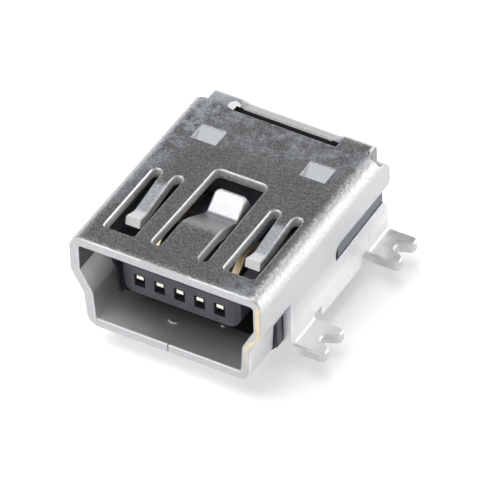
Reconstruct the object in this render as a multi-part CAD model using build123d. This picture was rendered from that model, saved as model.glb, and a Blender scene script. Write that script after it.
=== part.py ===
from build123d import *
import math
import os

# Five-contact charging port for a circuit board, surface mounted.
# A folded sheet shell holds a moulded housing, and the housing holds five spring contacts.
# Millimetres. X runs across the mouth, Y into it and Z up from the board.
# Depths are written from the mouth's plane. The finished pieces are then moved back, so that
# the origin lies on the board, midway between the two locating posts.

# Sheet shell: overall section of the mouth
sheet = 0.38
shell_width = 7.7
shell_height = 3.9
crown_radius = 0.5        # outside bend along both top edges
step_top = 2.34           # height where the wide part of the mouth starts to narrow
step_bottom = 1.42        # height where the narrowing ends
waist_width = 6.72        # outside width just below the step
floor_width = 6.54        # outside width at the floor
floor_radius = 0.5        # outside bend along both bottom edges
step_radius = 0.5         # outside bend at the top of the step
waist_radius = 0.14       # outside bend at the foot of the step
seam_gap = 0.006          # butt seam along the middle of the floor
seam_lip = 0.07           # where the seam opens at the mouth's edge
seam_lip_depth = 0.12

# Sheet shell: lengths from the mouth
throat_depth = 1.6        # closed tube at the front
floor_depth = 3.8         # two floor flaps that run on under the housing
leg_start = 2.08          # front edge of the side wall that carries the legs
ear_depth = 9.18          # rear end of the side walls
rear_depth = 9.38         # outside face of the rear cover

# Side walls
panel_bottom = 0.1        # lower edge between the legs
slot_front = 5.2
slot_bottom = 1.86        # height of the slot's lower edge at the rear
slot_bottom_front = 1.74
slot_top = 2.40
slot_shoulder = 0.36      # rounding of the slot's upper front corner
slot_toe = 0.1
ear_height = 3.56
ear_radius = 0.62
ear_heel_radius = 0.22
heel_run = 0.38           # slant at the rear of a side wall, below the slot
heel_drop = 0.62
panel_radius = 0.18
relief_right = 8.46       # front ends of the notches beside the rear cover
relief_left = 8.72
relief_radius = 0.18
relief_blend = 0.3        # slant between a notch's front end and the cover

# Solder legs
leg_pitch = 5.42
leg_width = 1.58
leg_reach = 5.07          # from the middle plane to the tips
leg_bend = 0.12
leg_relief = 0.45         # notch between a leg and the panel beside it
leg_relief_rise = 0.06
fork_root = 4.56
fork_half_mouth = 0.36
fork_half_root = 0.15
fork_radius = 0.14
prong_radius = 0.2

# Rear cover, bent down from the top
cover_width = 6.46
cover_turn = 1.0          # degrees out of square, the left side further back
cover_bottom = 1.35
cover_bend = 0.42         # outside bend beside the slit
cover_slit_bend = 0.4     # outside bend behind the slit
cover_slit_tilt = 17      # degrees that the strip behind the slit leans back
cover_corner = 0.45
slit_width = 4.2
slit_front = 8.43
slit_run = 0.26
slit_blend = 0.3

# Middle latch, cut free in the top and rooted at its front
latch_width = 1.5
latch_tip_width = 1.28
latch_slot = 0.36
latch_window_taper = 0.08
latch_root = 1.0
latch_window_end = 5.5
latch_bend = 2.62         # where the latch leaves the level of the top
latch_lead = 0.4          # level part of the bent blade, in front of that
latch_valley = 3.96
latch_valley_drop = 0.68
latch_tip = 4.74
latch_tip_drop = 0.11
latch_crest_radius = 1.5
latch_valley_radius = 0.22
latch_corner = 0.24
window_corner = 0.22

# Two side springs, cut free in the top and rooted at their rear
spring_spacing = 4.78
spring_width = 0.5
spring_tip_width = 0.58
spring_slot = 0.37
spring_window_front = 1.0
spring_slot_end = 4.5
spring_root = 4.05
spring_dip = 2.46
spring_dip_drop = 0.25
spring_tip = 2.0
spring_tip_drop = 0.13
spring_dip_radius = 0.3
spring_root_radius = 1.2
spring_lead = 0.1         # level part of the bent blade, behind its root
spring_corner = 0.12

# Two lanced tabs that hold the housing
tab_spacing = 4.4
tab_width = 1.0
tab_front = 6.53
tab_hinge = 7.38
tab_drop = 0.3
tab_hinge_radius = 0.2
lance_gap = 0.02

# Upper edges of the cuts, rolled over by the punch
rolled_edge = 0.08        # rounding of the mouth's two edges
window_edge = 0.05        # chamfer on the windows' upper edges and the latch's
leg_edge = 0.06           # chamfer on the legs' upper edges
strip_edge = 0.04         # chamfer on the front edge of the strip behind the slit
roll_margin = 0.05        # how far around a cut its edges are looked for

# Moulded housing
fit = 0.03                # gap between the housing and the sheet around it
cheek_front = 1.72
cheek_chamfer = 0.3
base_front = 5.6
housing_underside = 0.08
base_chamfer = 0.2
base_rear_chamfer = 0.3   # clears the wide bend behind the slit
tongue_front = 0.94
tongue_width = 4.72
tongue_thickness = 1.37
plug_room = 0.9           # from the tongue's top to the ceiling
tongue_corner = 0.5
tongue_nose = 0.1
tongue_nose_side = 0.3    # chamfers at the nose's sides: across, and back
tongue_nose_back = 0.18
window_drop = 0.41        # from the tongue's top to the roof of a nose window
window_height = 0.52
nose_wall = 0.42          # bar across the tongue's front, over the contact tips
groove_width = 0.43
rail_proud = 0.05         # how far the side rails lie under the outside of the sheet
rail_front = 5.45
pocket_margin = 0.08
pocket_depth = 0.4
tunnel_front = 0.3        # how far the tongue's grooves stop before the base

# Locating posts
post_spacing = 4.4
post_depth = 5.4
post_radius = 0.45
post_length = 0.8
post_tip = 0.12

# Contacts
contact_count = 5
contact_pitch = 0.8
contact_width = 0.27
contact_sheet = 0.15
contact_gap = 0.02        # gap between a contact and its tunnel
contact_tip = 0.98
tip_drop = 0.07           # from a window's roof to the upper face of a tip
knee_depth = 1.28
rise_depth = 2.0
rise_proud = 0.04         # above the tongue's top
crest_depth = 2.75
crest_clear = 0.24        # below the ceiling
landing_depth = 4.35
beam_sunk = 0.12          # from the tongue's top to the upper face of the straight part
drop_depth = 8.5          # rear face of the part that runs down
tail_depth = 9.8
contact_bend = 0.3
tail_bend = 0.24
contact_relief = 0.12     # chamfer in the tunnel's corner, inside the contact's bend

half = shell_width / 2
ceiling = shell_height - sheet
tongue_top = ceiling - plug_room
tongue_bottom = tongue_top - tongue_thickness
window_roof = tongue_top - window_drop
window_bottom = window_roof - window_height
tip_height = window_roof - tip_drop
rise_height = tongue_top + rise_proud
crest_height = ceiling - crest_clear
beam_height = tongue_top - beam_sunk
latch_joint = latch_bend - latch_lead
board_origin = Location((0, -post_depth, 0))
cover_half = cover_width / 2
slit_rear = slit_front + slit_run
cover_pivot = Location((cover_half, rear_depth, 0))
cover_place = cover_pivot * Rot(0, 0, -cover_turn) * cover_pivot.inverse()
front_leg = leg_start + leg_width / 2
leg_centres = [front_leg, front_leg + leg_pitch]
slot_rear = leg_centres[1] + leg_width / 2
contact_places = [contact_pitch * (i - (contact_count - 1) / 2) for i in range(contact_count)]


def box(x_range, y_range, z_range):
    """A plain block between two limits on each axis."""
    size = [high - low for low, high in (x_range, y_range, z_range)]
    middle = [(high + low) / 2 for low, high in (x_range, y_range, z_range)]
    return Pos(*middle) * Box(*size)


def both_sides(shape):
    """The shape and its mirror image across the middle plane."""
    return [shape, mirror(shape, about=Plane.YZ)]


def corners(face, *places):
    """The corner points of a flat face that lie nearest to some places."""
    points = face.vertices()
    return [min(points, key=lambda v: math.hypot(v.X - x, v.Y - y)) for x, y in places]


def ribbon(points, radii, thickness, x_range):
    """A strip bent in the YZ plane. The points run along its upper face, given front to rear."""
    line = FilletPolyline(*points, radius=radii)
    face = make_face(offset(line, amount=thickness, side=Side.RIGHT))
    low, high = x_range
    return extrude(Plane.YZ.offset(low) * face, high - low)


def along_depth(face, front, rear):
    """A section in the XZ plane, drawn out from one depth to another."""
    return extrude(Plane.XZ.offset(-front) * face, front - rear)


def from_above(face, bottom, top):
    """An outline seen from above, drawn up from one height to another."""
    return extrude(Plane.XY.offset(bottom) * face, top - bottom)


def from_side(face, x_range):
    """An outline in the YZ plane, drawn out across X."""
    low, high = x_range
    return extrude(Plane.YZ.offset(low) * face, high - low)


def mouth_outline():
    """Outside of the mouth's section: wide above, stepped in below."""
    waist = waist_width / 2
    base = floor_width / 2
    right = [(half, shell_height), (half, step_top), (waist, step_bottom), (base, 0)]
    left = [(-x, z) for x, z in reversed(right)]
    face = make_face(Polyline(*right, *left, close=True))
    rounding = [crown_radius, step_radius, waist_radius, floor_radius]
    for (x, z), radius in zip(right, rounding):
        face = fillet(corners(face, (x, z), (-x, z)), radius)
    return face


def mouth_opening():
    """Inside of the mouth's section, one sheet thickness in from the outside."""
    return offset(mouth_outline(), amount=-sheet)


def throat():
    """Closed tube at the mouth, with two floor flaps that run on behind it."""
    section = mouth_outline() - mouth_opening()
    tube = along_depth(section, 0, throat_depth)
    flap_half = floor_width / 2 - floor_radius
    flaps = box((-flap_half, flap_half), (throat_depth, floor_depth), (0, sheet))
    gap = seam_gap / 2
    lip = seam_lip / 2
    seam = make_face(Polyline(
        (-lip, -1), (lip, -1), (lip, 0), (gap, seam_lip_depth), (gap, floor_depth + 1),
        (-gap, floor_depth + 1), (-gap, seam_lip_depth), (-lip, 0), close=True))
    return tube + flaps - from_above(seam, -1, sheet + waist_radius)


def crown():
    """Top plate with the bends along its sides, cut back beside the rear cover."""
    keep = Pos(0, shell_height) * Rectangle(shell_width + 1, 2 * crown_radius)
    section = (mouth_outline() - mouth_opening()) & keep
    plate = along_depth(section, throat_depth, ear_depth)
    for reach, front in ((cover_half, rear_depth - cover_bend), (slit_width / 2, slit_rear)):
        behind = box((-reach, reach), (front, ear_depth + 1), (0, shell_height + 1))
        plate -= cover_place * behind
    plate -= notch(relief_right)
    plate -= mirror(notch(relief_left), about=Plane.YZ)
    for piece in both_sides(from_side(ear_corner(), (cover_half, half + 1))):
        plate -= piece
    return plate


def notch(relief_depth):
    """Room to the right of the rear cover: open inside the ear and above it, with a slanted front."""
    inner = half - sheet
    outline = make_face(Polyline(
        (cover_half, relief_depth + relief_blend), (cover_half + relief_blend, relief_depth),
        (half + 1, relief_depth), (half + 1, ear_depth + 1), (cover_half, ear_depth + 1), close=True))
    above = from_above(outline, ear_height, shell_height + 1)
    lowest = above.faces().sort_by(Axis.Z)[0]
    above = fillet(lowest.edges().filter_by(Axis.X).sort_by(Axis.Y)[0], relief_radius)
    beside = from_above(outline, 0, shell_height + 1)
    return above + (beside & box((0, inner), (0, ear_depth + 1), (0, shell_height + 1)))


def ear_corner():
    """What the ear's rounded upper corner leaves out, seen from the side."""
    middle = ear_depth - ear_radius / 2
    square = Pos(middle, ear_height - ear_radius / 2) * Rectangle(ear_radius, ear_radius)
    outside = Pos(ear_depth, ear_height) * Rectangle(1, 1)
    disc = Pos(ear_depth - ear_radius, ear_height - ear_radius) * Circle(ear_radius)
    return square - disc + (outside - square)


def side_wall():
    """Flat right-hand wall: ear above the slot, panel and leg roots below it."""
    outline = ear_outline() + panel_outline()
    return from_side(outline, (half - sheet, half))


def ear_outline():
    """Side wall above the slot, rounded at its rear lower corner."""
    bend_end = shell_height - crown_radius
    face = make_face(Polyline(
        (throat_depth, step_top), (leg_start, step_top), (slot_front, slot_top),
        (ear_depth, slot_top), (ear_depth, bend_end), (throat_depth, bend_end), close=True))
    return fillet(corners(face, (ear_depth, slot_top)), ear_heel_radius) - ear_corner()


def panel_outline():
    """Side wall below the slot, with a notch beside each leg."""
    front, rear = [leg_centres[i] + leg_width / 2 for i in (0, 1)]
    leg_top = sheet + leg_bend
    relief_top = leg_top + leg_relief_rise
    panel_front = front + leg_relief
    panel_rear = rear - leg_width - leg_relief
    face = make_face(Polyline(
        (leg_start, slot_top), (leg_start, leg_top), (front, leg_top), (front, relief_top),
        (panel_front, relief_top), (panel_front, panel_bottom),
        (panel_rear, panel_bottom), (panel_rear, relief_top),
        (rear - leg_width, relief_top), (rear - leg_width, leg_top),
        (rear, leg_top), (rear, slot_bottom - heel_drop), (rear - heel_run, slot_bottom),
        (rear - heel_run, slot_top), (leg_start, slot_top), close=True))
    lower = corners(face, (panel_front, panel_bottom), (panel_rear, panel_bottom))
    return fillet(lower, panel_radius) - slot_outline(rear)


def slot_outline(rear):
    """Slot in a side wall, open to the rear: rounded in front, and a little deeper there."""
    face = make_face(Polyline(
        (slot_front, slot_bottom_front), (slot_rear - heel_run, slot_bottom),
        (rear, slot_bottom), (rear, slot_top), (slot_front, slot_top), close=True))
    face = fillet(corners(face, (slot_front, slot_top)), slot_shoulder)
    return fillet(corners(face, (slot_front, slot_bottom_front)), slot_toe)


def leg(centre):
    """Leg bent outward at the foot of the side wall, with a forked end to hold solder."""
    front = centre - leg_width / 2
    rear = centre + leg_width / 2
    leg_top = sheet + leg_bend
    line = FilletPolyline(
        (half, leg_top + leg_relief_rise), (half, sheet), (leg_reach, sheet), radius=leg_bend)
    section = make_face(offset(line, amount=sheet, side=Side.RIGHT))
    bent = along_depth(section, front, rear)
    inner = half - sheet
    plan = Pos((leg_reach + inner) / 2, centre) * Rectangle(leg_reach - inner, leg_width)
    fork = make_face(Polyline(
        (fork_root, centre - fork_half_root), (fork_root, centre + fork_half_root),
        (leg_reach, centre + fork_half_mouth), (leg_reach, centre - fork_half_mouth), close=True))
    root = [(fork_root, centre + side * fork_half_root) for side in (-1, 1)]
    plan -= fillet(corners(fork, *root), fork_radius)
    tips = [centre + side * y for side in (-1, 1) for y in (fork_half_mouth, leg_width / 2)]
    plan = fillet(corners(plan, *[(leg_reach, y) for y in tips]), prong_radius)
    return bent & from_above(plan, -1, shell_height)


def cover_section(bend, tilt):
    """Side view of the rear cover's sheet, for one bend radius and one lean in front of it."""
    drop = (rear_depth - slit_rear) * math.tan(math.radians(tilt))
    line = FilletPolyline(
        (slit_rear, shell_height), (rear_depth, shell_height - drop),
        (rear_depth, cover_bottom), radius=bend)
    return make_face(offset(line, amount=sheet, side=Side.RIGHT))


def rear_cover():
    """Cover bent down from the top. Behind the slit it bends wider, and it blends at both ends."""
    beside = slit_width / 2
    middle = beside - slit_blend
    leaning = cover_section(cover_slit_bend, cover_slit_tilt)
    level = cover_section(cover_bend, 0)
    cover = from_side(leaning, (-middle, middle))
    blend = loft([Plane.YZ.offset(middle) * leaning, Plane.YZ.offset(beside) * level], ruled=True)
    wing = from_side(level, (beside, cover_half))
    for piece in both_sides(blend) + both_sides(wing):
        cover += piece
    height = shell_height - cover_bottom
    outline = Pos(0, cover_bottom + height / 2) * Rectangle(cover_width, height)
    lower = [(side * cover_half, cover_bottom) for side in (-1, 1)]
    outline = fillet(corners(outline, *lower), cover_corner)
    return cover_place * (cover & along_depth(outline, slit_front, rear_depth + 1))


def top_openings():
    """Everything cut through the top: latch and spring windows, tab windows and the rear slit."""
    latch_half = latch_width / 2
    front_half = latch_half + latch_slot
    rear_half = front_half - latch_window_taper
    window = make_face(Polyline(
        (-front_half, latch_root), (front_half, latch_root),
        (rear_half, latch_window_end), (-rear_half, latch_window_end), close=True))
    ends = corners(window, (rear_half, latch_window_end), (-rear_half, latch_window_end))
    window = fillet(ends, window_corner)
    window -= Pos(0, latch_root) * Rectangle(latch_width, 2 * (latch_joint - latch_root))
    rounded = [(side * x, latch_root) for side in (-1, 1) for x in (latch_half, front_half)]
    window = fillet(corners(window, *rounded), 0.48 * latch_slot)
    openings = [window]
    for side in (-1, 1):
        openings.append(spring_window(side * spring_spacing / 2))
        middle = (tab_front + tab_hinge) / 2
        opening = Rectangle(tab_width, tab_hinge - tab_front)
        openings.append(Pos(side * tab_spacing / 2, middle) * opening)
    slit = Pos(0, slit_front + slit_run / 2) * Rectangle(slit_width, slit_run)
    openings.append(cover_place * slit)
    return [from_above(face, ceiling - sheet, shell_height + sheet) for face in openings]


def spring_window(centre):
    """Window around one side spring: square in front, with a slot on each side of the root."""
    outer = spring_width / 2 + spring_slot
    length = spring_slot_end - spring_window_front
    window = Pos(centre, spring_window_front + length / 2) * Rectangle(2 * outer, length)
    root = spring_slot_end - spring_root - spring_lead
    window -= Pos(centre, spring_slot_end) * Rectangle(spring_width, 2 * root)
    front = [(centre + side * outer, spring_window_front) for side in (-1, 1)]
    window = fillet(corners(window, *front), spring_corner)
    rear = [(centre + side * x, spring_slot_end) for side in (-1, 1) for x in (outer - spring_slot, outer)]
    return fillet(corners(window, *rear), 0.48 * spring_slot)


def latch():
    """Middle latch: dips to a valley that catches the plug, then turns up at its tip."""
    strip = ribbon(
        [(latch_joint, shell_height), (latch_bend, shell_height),
         (latch_valley, shell_height - latch_valley_drop), (latch_tip, shell_height - latch_tip_drop)],
        [latch_crest_radius, latch_valley_radius], sheet, (-half, half))
    root = latch_width / 2
    tip = latch_tip_width / 2
    end = latch_tip + sheet
    outline = make_face(Polyline(
        (-root, latch_joint), (root, latch_joint), (root, latch_bend), (tip, latch_valley),
        (tip, end), (-tip, end), (-tip, latch_valley), (-root, latch_bend), close=True))
    blade = strip & from_above(outline, 0, shell_height + 1)
    for piece in both_sides(latch_tip_corner()):
        blade -= piece
    return blade


def latch_tip_corner():
    """What the latch's rounded tip leaves out at one corner, cut square to its ramp."""
    run = latch_tip - latch_valley
    rise = latch_valley_drop - latch_tip_drop
    ramp = Plane(
        origin=(0, latch_tip, shell_height - latch_tip_drop), x_dir=(1, 0, 0), z_dir=(0, -rise, run))
    middle = latch_tip_width / 2 - latch_corner
    square = Pos(middle + latch_corner, 0) * Rectangle(2 * latch_corner, 2 * latch_corner)
    corner = square - Pos(middle, -latch_corner) * Circle(latch_corner)
    return extrude(ramp * corner, 2 * sheet, both=True)


def side_spring(centre):
    """Side spring: dips below the top to press on the plug, with a slightly raised, wider tip."""
    strip = ribbon(
        [(spring_tip, shell_height - spring_tip_drop), (spring_dip, shell_height - spring_dip_drop),
         (spring_root, shell_height), (spring_slot_end, shell_height)],
        [spring_dip_radius, spring_root_radius], sheet, (centre - half, centre + half))
    root = spring_width / 2
    tip = spring_tip_width / 2
    outline = Pos(centre, 0) * make_face(Polyline(
        (-tip, spring_tip - sheet), (tip, spring_tip - sheet), (tip, spring_tip), (root, spring_dip),
        (root, spring_slot_end), (-root, spring_slot_end), (-root, spring_dip),
        (-tip, spring_tip), close=True))
    return strip & from_above(outline, 0, shell_height + 1)


def tab(centre):
    """Lanced tab, hinged at its rear edge and pressed down at the front."""
    reach = (centre - tab_width / 2, centre + tab_width / 2)
    return ribbon(
        [(tab_front + lance_gap, shell_height - tab_drop), (tab_hinge, shell_height),
         (tab_hinge + tab_hinge_radius, shell_height)],
        [tab_hinge_radius], sheet, reach)


def shell():
    """The whole shell: one folded sheet."""
    body = throat() + crown()
    for wall in both_sides(side_wall()):
        body += wall
    for centre in leg_centres:
        for piece in both_sides(leg(centre)):
            body += piece
    for opening in top_openings():
        body -= opening
    body += latch()
    for side in (-1, 1):
        body += side_spring(side * spring_spacing / 2)
        body += tab(side * tab_spacing / 2)
    body += rear_cover()
    return rolled(body)


def rolled(body):
    """The shell with its upper edges rounded or broken, where the punch rolled the sheet over."""
    latch_reach = latch_width / 2 + latch_slot
    spring_reach = spring_width / 2 + spring_slot
    top = (shell_height - latch_valley_drop, shell_height)
    body = body.chamfer(window_edge, None, upper_edges(
        body, (-latch_reach, latch_reach), (latch_root, latch_window_end), top))
    for middle in (-spring_spacing / 2, spring_spacing / 2):
        across = (middle - spring_reach, middle + spring_reach)
        around = upper_edges(body, across, (spring_window_front, spring_slot_end), top)
        body = body.chamfer(window_edge, None, around.group_by(Axis.Z)[-1])
    for outside in ((-leg_reach, -half), (half, leg_reach)):
        for centre in leg_centres:
            along = (centre - leg_width / 2, centre + leg_width / 2)
            body = body.chamfer(leg_edge, None, upper_edges(body, outside, along, (sheet, sheet)))
    strip = upper_edges(body, (0, 0), (slit_rear, slit_rear + roll_margin), top)
    body = body.chamfer(strip_edge, None, strip)
    return body.fillet(rolled_edge, mouth_rim(body))


def upper_edges(body, *ranges):
    """Edges whose middles lie in a range on each axis, where a surface facing up meets a wall."""
    faces = body.faces()
    upward = ShapeList([e for f in faces if f.normal_at().Z > 0.5 for e in f.edges()])
    walls = ShapeList([e for f in faces if abs(f.normal_at().Z) < 0.3 for e in f.edges()])
    found = upward & walls
    for axis, (low, high) in zip((Axis.X, Axis.Y, Axis.Z), ranges):
        found = found.filter_by_position(axis, low - roll_margin, high + roll_margin)
    return found


def mouth_rim(body):
    """Inner and outer edges of the mouth's front face, all but the two at the seam."""
    face = body.faces().filter_by(Plane.XZ).sort_by(Axis.Y)[0]
    return [edge for edge in face.edges() if abs(abs((edge @ 0.5).X) - seam_lip / 2) > seam_lip / 4]


def cavity(front, rear):
    """Room for the plug, with the mouth's own inside section."""
    return along_depth(mouth_opening(), front, rear)


def cheeks():
    """Plastic walls beside and below the plug, flush with the inside of the mouth."""
    inner = half - sheet - fit
    section = Pos(0, (housing_underside + step_top) / 2) * Rectangle(
        2 * inner, step_top - housing_underside)
    lower = [(side * inner, housing_underside) for side in (-1, 1)]
    section = chamfer(corners(section, *lower), cheek_chamfer)
    block = along_depth(section, cheek_front, base_front) - cavity(cheek_front - 1, base_front)
    flap_half = floor_width / 2 - floor_radius + fit
    return block - box((-flap_half, flap_half), (0, floor_depth + fit), (-1, sheet + fit))


def base():
    """Solid rear block, with side rails that run in the slots of the shell."""
    inner = half - sheet - fit
    top = ceiling - fit
    rear = rear_depth - sheet - fit
    section = Pos(0, (housing_underside + top) / 2) * Rectangle(2 * inner, top - housing_underside)
    section = chamfer(corners(section, (inner, top), (-inner, top)), base_chamfer)
    block = along_depth(section, base_front, rear)
    rear_edge = block.edges().filter_by(Axis.X).filter_by_position(Axis.Z, top - fit, top + fit)
    block = chamfer(rear_edge.sort_by(Axis.Y)[-1], base_rear_chamfer)
    for piece in both_sides(rail(inner - fit)):
        block += piece
    for side in (-1, 1):
        block -= tab_pocket(side * tab_spacing / 2)
    return block


def rail(root):
    """Rail that fills the slot in a side wall, the same gap away all round."""
    rear = slot_rear - heel_run
    block = Pos((rail_front + rear) / 2, slot_top) * Rectangle(rear - rail_front, 2 * slot_top)
    outline = offset(slot_outline(rear + 1), amount=-fit) & block
    return from_side(outline, (root, half - rail_proud))


def tab_pocket(centre):
    """Pocket in the base's top that a lanced tab catches in."""
    reach = tab_width / 2 + pocket_margin
    return box(
        (centre - reach, centre + reach), (tab_front - pocket_margin, tab_hinge + pocket_margin),
        (ceiling - pocket_depth, shell_height))


def tongue():
    """Flat tongue that the plug slides over."""
    side = tongue_width / 2
    height = tongue_top - tongue_bottom
    section = Pos(0, tongue_bottom + height / 2) * Rectangle(tongue_width, height)
    section = fillet(corners(section, (side, tongue_bottom), (-side, tongue_bottom)), tongue_corner)
    flat = side - tongue_nose_side
    shoulder = tongue_front + tongue_nose_back
    plan = make_face(Polyline(
        (-flat, tongue_front), (flat, tongue_front), (side, shoulder), (side, base_front),
        (-side, base_front), (-side, shoulder), close=True))
    body = along_depth(section, tongue_front, base_front) & from_above(plan, 0, shell_height)
    nose = body.faces().sort_by(Axis.Y)[0]
    return chamfer(nose.edges(), tongue_nose)


def contact_passage(x):
    """Cuts for one contact: nose window, top groove, tunnel and rear channel."""
    wide = (x - groove_width / 2, x + groove_width / 2)
    side = contact_width / 2 + contact_gap
    snug = (x - side, x + side)
    groove_end = base_front - tunnel_front
    window = box(wide, (tongue_front - 1, groove_end), (window_bottom, window_roof))
    groove = box(wide, (tongue_front + nose_wall, groove_end), (window_bottom, tongue_top + 1))
    low = beam_height - contact_sheet - contact_gap
    high = beam_height + contact_gap
    front = drop_depth - contact_sheet - contact_gap
    path = make_face(Polyline(
        (base_front - 1, high), (base_front - 1, low), (front - contact_relief, low),
        (front, low - contact_relief), (front, -1), (rear_depth, -1), (rear_depth, high), close=True))
    return [window, groove, from_side(path, snug)]


def post(centre):
    """Locating post that drops into a hole in the board."""
    pin = Pos(centre, post_depth, -post_length) * Cylinder(
        post_radius, post_length + sheet, align=(Align.CENTER, Align.CENTER, Align.MIN))
    return chamfer(pin.edges().sort_by(Axis.Z)[0], post_tip)


def housing():
    """The whole moulding: tongue, cheeks, base, rails and posts in one piece."""
    body = cheeks() + base() + tongue()
    for x in contact_places:
        for cut in contact_passage(x):
            body -= cut
    for side in (-1, 1):
        body += post(side * post_spacing / 2)
    return body


def contact(x):
    """Spring contact: tip under the nose bar, crest over the tongue, drop and solder tail."""
    reach = (x - contact_width / 2, x + contact_width / 2)
    points = [
        (contact_tip, tip_height), (knee_depth, tip_height), (rise_depth, rise_height),
        (crest_depth, crest_height), (landing_depth, beam_height), (drop_depth, beam_height),
        (drop_depth, contact_sheet), (tail_depth, contact_sheet)]
    radii = [contact_bend, contact_bend, contact_bend, contact_bend, tail_bend, contact_sheet / 2]
    return ribbon(points, radii, contact_sheet, reach)


def save(shape, name):
    """One piece in one file, moved to the board's origin."""
    export_step(board_origin * shape, f"parts/{name}.step")


os.makedirs("parts", exist_ok=True)
save(shell(), "metal_shell")
save(housing(), "contact_housing")
for number, place in enumerate(contact_places, start=1):
    save(contact(place), f"spring_contact_{number}")
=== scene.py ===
import math
from functools import cached_property

import bpy
from bpy.props import FloatProperty, FloatVectorProperty, PointerProperty
from mathutils import Matrix, Vector


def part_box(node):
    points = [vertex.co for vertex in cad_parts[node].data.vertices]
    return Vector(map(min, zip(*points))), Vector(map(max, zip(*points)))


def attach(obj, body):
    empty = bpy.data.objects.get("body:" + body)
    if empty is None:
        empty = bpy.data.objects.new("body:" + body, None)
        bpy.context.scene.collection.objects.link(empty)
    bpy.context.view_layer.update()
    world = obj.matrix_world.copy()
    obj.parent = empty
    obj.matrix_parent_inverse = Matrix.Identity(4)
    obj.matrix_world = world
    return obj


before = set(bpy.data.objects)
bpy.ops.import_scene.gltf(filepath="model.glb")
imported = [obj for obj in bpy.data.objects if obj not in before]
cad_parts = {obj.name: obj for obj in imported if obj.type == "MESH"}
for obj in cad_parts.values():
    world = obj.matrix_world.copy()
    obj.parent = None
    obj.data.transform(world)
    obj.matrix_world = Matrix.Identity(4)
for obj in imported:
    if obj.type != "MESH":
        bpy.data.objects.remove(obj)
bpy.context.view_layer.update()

bl_info = {
    "name": "Charging Port Finishes",
    "version": (1, 0, 0),
    "blender": (4, 5, 0),
    "location": "3D View > Sidebar > Port",
    "description": "Finishes a folded-sheet charging port and sets it in a plain studio",
    "category": "Object",
}

MM = 0.001

# Places on the part in its own frame, in millimetres: X to the right, Y into the mouth and Z up
SHELL_LOW, SHELL_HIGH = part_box("metal_shell")
MOUTH_PLANE = SHELL_LOW.y / MM
TOP_PLANE = SHELL_HIGH.z / MM
POST_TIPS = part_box("contact_housing")[0].z / MM
SHEET = 0.38
MOUTH_HALF_LOW = 3.17
MOUTH_HALF_HIGH = 3.66
MOUTH_STEP = 1.4
MOUTH_STEP_RISE = 0.95
MOUTH_OUTER_LOW = 3.36
MOUTH_OUTER_HIGH = 3.85
FLOOR_REAR = -3.62
SLIT_FRONT = 2.9
SLIT_REAR = 3.4
TAB_MIDDLE = 2.2

# The photograph and the studio
PHOTO_PIXELS = 480
SENSOR_WIDTH = 36.0
CLIP_NEAR, CLIP_FAR = 0.01, 10.0
FLOOR_REACH = 1.5
SOFTBOX_REACH = 0.3
SOFTBOX_WIDTH = 290 * MM
OVERHEAD_BEARING = (-0.28, -0.08, 0.955)
FRONT_BEARING = (-0.42, -0.46, 0.78)
REAR_BEARING = (0.55, 0.70, 0.45)
ABOVE_HORIZON = (0.05, 0.62)
STRAIGHT_ABOVE = (0.74, 0.9)
WHITE = (1.0, 1.0, 1.0, 1.0)
UP = Vector((0, 0, 1))


# Shader expressions

class Value:
    """One output socket. Python's operators on it add Math nodes."""

    def __init__(self, tree, socket):
        self.tree = tree
        self.socket = socket

    def math(self, operation, *operands):
        made = self.tree.node("ShaderNodeMath", {"operation": operation}, dict(enumerate(operands)))
        return made["Value"]

    def __add__(self, other):
        return self.math("ADD", self, other)

    __radd__ = __add__

    def __sub__(self, other):
        return self.math("SUBTRACT", self, other)

    def __rsub__(self, other):
        return self.math("SUBTRACT", other, self)

    def __mul__(self, other):
        return self.math("MULTIPLY", self, other)

    __rmul__ = __mul__

    def __abs__(self):
        return self.math("ABSOLUTE", self)

    def __neg__(self):
        return self.math("MULTIPLY", self, -1.0)

    def at_least(self, other):
        return self.math("MAXIMUM", self, other)

    def at_most(self, other):
        return self.math("MINIMUM", self, other)

    def between(self, low, high):
        """0 at low, 1 at high and smooth between them. Low may be the larger."""
        made = self.tree.node(
            "ShaderNodeMapRange", {"interpolation_type": "SMOOTHSTEP"},
            {"Value": self, "From Min": low, "From Max": high})
        return made["Result"]


class Made:
    """A node that was made, whose outputs are read by name or by number."""

    def __init__(self, tree, node):
        self.tree = tree
        self.node = node

    def __getitem__(self, name):
        return Value(self.tree, self.node.outputs[name])


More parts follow.
